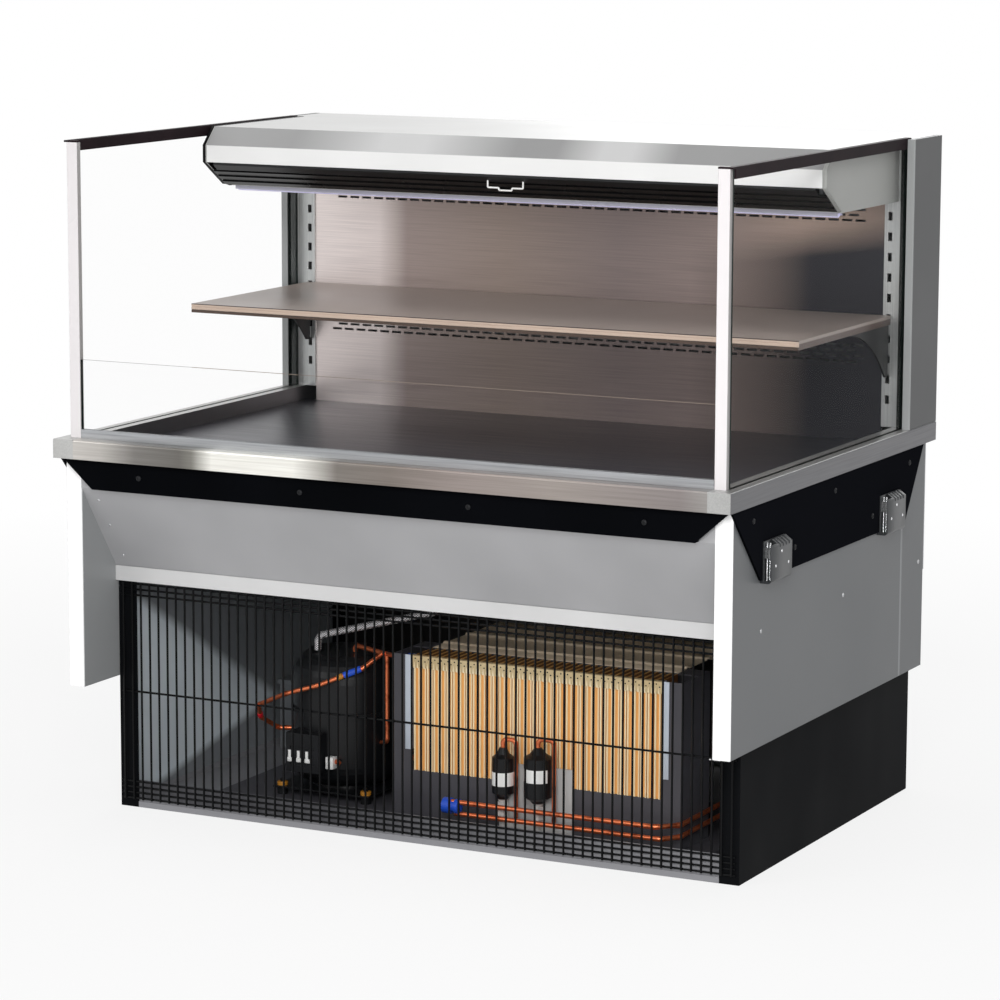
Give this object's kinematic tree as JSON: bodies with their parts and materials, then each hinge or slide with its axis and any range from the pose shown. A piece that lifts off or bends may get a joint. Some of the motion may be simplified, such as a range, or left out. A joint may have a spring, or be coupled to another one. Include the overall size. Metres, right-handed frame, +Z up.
{
  "type": "drop-in refrigerated display case",
  "caption": "Open-fronted chilled display well that hangs by its counter rim, with glass sides, a shelf, a lit hood, a pull-down night curtain and a condensing unit behind a wire grille.",
  "frame": {"origin": "on the floor plane (the underside of the base pan), below the middle of the counter rim", "axes": "+X to the customer's right along the width, +Y from the front to the back, +Z up"},
  "size_m": [1.2256, 0.87, 1.121],
  "materials": {
    "rim_steel": "brushed stainless steel",
    "column_steel": "satin grey coated sheet",
    "panel_steel": "galvanised grey sheet",
    "back_steel": "galvanised sheet",
    "black_band": "satin black powder coat",
    "screw_steel": "blackened screws",
    "tank_sheet": "galvanised sheet over foam",
    "tank_lip": "bright galvanised sheet",
    "base_black": "satin black powder coat",
    "base_pan": "galvanised sheet",
    "grille_wire": "black dipped wire",
    "gland_plastic": "black moulded nylon",
    "deck_metal": "grey coated sheet",
    "liner_steel": "brushed stainless steel",
    "standard_steel": "bright stainless steel",
    "hood_paint": "white powder coat",
    "hood_end": "grey coated sheet",
    "lamp_housing": "extruded, satin",
    "lamp_lens": "opal diffuser",
    "cassette_black": "black anodised",
    "roller_metal": "tube with wound foil fabric",
    "curtain_fabric": "foil-faced woven fabric",
    "bar_black": "black extrusion",
    "handle_white": "white dipped wire",
    "clear_glass": "clear tempered glass",
    "trim_black": "black extruded trim",
    "post_white": "white anodised",
    "channel_metal": "extruded",
    "shelf_paint": "grey coated sheet",
    "shelf_rail": "ticket rail",
    "bracket_black": "black coated plate",
    "clamp_grey": "grey painted casting",
    "jaw_bright": "bright zinc",
    "unit_black": "black coated sheet",
    "compressor_black": "gloss black enamel",
    "cover_black": "black moulding",
    "condenser_brass": "gold coated aluminium fins",
    "copper": "drawn copper tube",
    "fan_plastic": "black moulding",
    "motor_grey": "grey enamel",
    "drier_black": "black enamel",
    "foam_sleeve": "pale foam sleeve",
    "coil_aluminium": "bare fins",
    "galvanised": "galvanised sheet",
    "tray_grey": "grey moulding",
    "box_grey": "grey painted sheet"
  },
  "bodies": {
    "case": {"rim_rails": "rim_steel", "rim_sides": "rim_steel", "front_band": "black_band", "side_bands": "black_band", "side_panels": "panel_steel", "back_panels": "back_steel", "panel_screws": "screw_steel", "insulated_tank": "tank_sheet", "tank_base_sheet": "tank_lip", "base_sides": "base_black", "base_pan": "base_pan", "front_grille": "grille_wire", "rear_louver_panel": "base_black", "supply_gland": "gland_plastic", "deck_pan": "deck_metal", "return_grille": "deck_metal", "rear_liner": "liner_steel", "shelf_standards": "standard_steel", "column_sides": "column_steel", "column_top": "hood_paint", "hood_shell": "hood_paint", "hood_end_plates": "hood_end", "hood_soffit": "hood_paint", "led_housing": "lamp_housing", "led_lens": "lamp_lens", "curtain_cassette": "cassette_black", "side_glass": "clear_glass", "glass_trims": "trim_black", "glass_posts": "post_white", "front_glass": "clear_glass", "front_glass_channel": "channel_metal", "shelf": "shelf_paint", "shelf_edge_rail": "shelf_rail", "shelf_brackets": "bracket_black", "clamp_housings": "clamp_grey", "unit_base_plate": "unit_black", "compressor": "compressor_black", "compressor_cover": "cover_black", "condenser_fins": "condenser_brass", "condenser_tubes": "copper", "condenser_shroud": "unit_black", "condenser_fan_motor": "motor_grey", "filter_driers": "drier_black", "copper_lines": "copper", "suction_line": "foam_sleeve", "evaporator_coil": "coil_aluminium", "evaporator_fan_panel": "galvanised", "condensate_pan": "tray_grey", "control_box": "box_grey"},
    "curtain_bar": {"curtain_bar": "bar_black", "curtain_handle": "handle_white", "curtain_fabric": "curtain_fabric"},
    "curtain_roller": {"curtain_roller": "roller_metal"},
    "condenser_fan": {"condenser_fan": "fan_plastic"},
    "evaporator_fan_left": {"evaporator_fan_left": "fan_plastic"},
    "evaporator_fan_right": {"evaporator_fan_right": "fan_plastic"},
    "clamp_jaw_front_left": {"clamp_jaw_front_left": "jaw_bright"},
    "clamp_jaw_front_right": {"clamp_jaw_front_right": "jaw_bright"},
    "clamp_jaw_rear_left": {"clamp_jaw_rear_left": "jaw_bright"},
    "clamp_jaw_rear_right": {"clamp_jaw_rear_right": "jaw_bright"}
  },
  "joints": [
    {"name": "curtain_pull", "type": "slide", "parent": "case", "child": "curtain_bar", "axis": [0, -0.8308, -0.5566], "range_m": [0, 0.478], "stiffness_N_per_m": 20, "springref_m": -0.5},
    {"name": "roller_spin", "type": "hinge", "parent": "case", "child": "curtain_roller", "pos_m": [0, 0.05245, 1.0562], "axis": [1, 0, 0], "range_deg": [0, 1418]},
    {"name": "condenser_fan_spin", "type": "hinge", "parent": "case", "child": "condenser_fan", "pos_m": [0.163, -0.111, 0.192], "axis": [0, 1, 0], "continuous": true},
    {"name": "evaporator_fan_left_spin", "type": "hinge", "parent": "case", "child": "evaporator_fan_left", "pos_m": [-0.21, 0.046, 0.514], "axis": [0, 1, 0], "continuous": true},
    {"name": "evaporator_fan_right_spin", "type": "hinge", "parent": "case", "child": "evaporator_fan_right", "pos_m": [0.21, 0.046, 0.514], "axis": [0, 1, 0], "continuous": true},
    {"name": "jaw_front_left_slide", "type": "slide", "parent": "case", "child": "clamp_jaw_front_left", "axis": [0, 0, 1], "range_m": [0, 0.016]},
    {"name": "jaw_front_right_slide", "type": "slide", "parent": "case", "child": "clamp_jaw_front_right", "axis": [0, 0, 1], "range_m": [0, 0.016]},
    {"name": "jaw_rear_left_slide", "type": "slide", "parent": "case", "child": "clamp_jaw_rear_left", "axis": [0, 0, 1], "range_m": [0, 0.016]},
    {"name": "jaw_rear_right_slide", "type": "slide", "parent": "case", "child": "clamp_jaw_rear_right", "axis": [0, 0, 1], "range_m": [0, 0.016]}
  ],
  "couplings": [
    {"joint": "roller_spin", "follows": "curtain_pull", "rad_per_m": 51.726}
  ]
}
